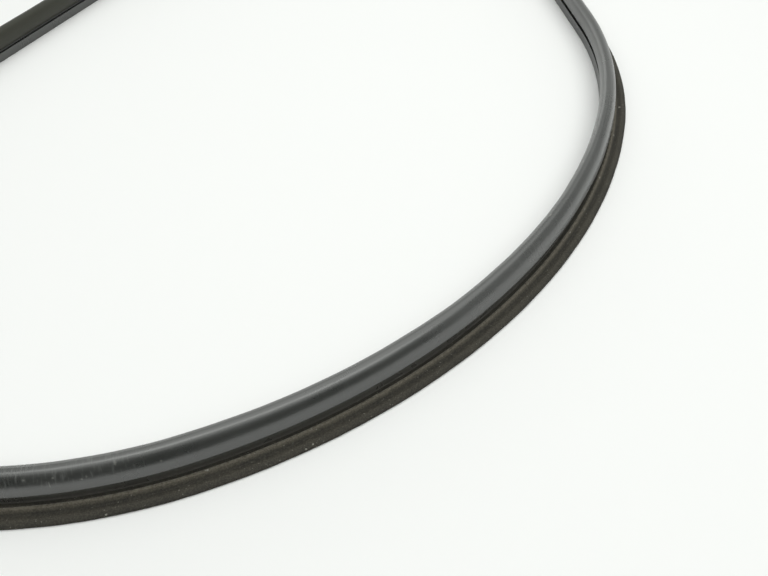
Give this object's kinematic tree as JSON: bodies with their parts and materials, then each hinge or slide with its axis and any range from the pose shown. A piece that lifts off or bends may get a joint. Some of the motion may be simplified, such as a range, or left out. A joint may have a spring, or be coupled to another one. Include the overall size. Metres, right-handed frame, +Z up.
{
  "type": "car door seal",
  "caption": "Closed loop of hollow-bulb rubber weatherstrip on a ridged base flange, which seals the gap round a car door.",
  "frame": {"origin": "middle of the loop's box, on the underside of the base", "axes": "+Z up from the underside through the bulb, +Y along the loop's longest way towards its sharp far corner, +X across it"},
  "size_m": [0.6924, 1.0662, 0.027],
  "materials": {
    "rubber": "satin black rubber, dusty and brownish on the base"
  },
  "bodies": {
    "root": {"door_seal": "rubber"}
  },
  "joints": []
}
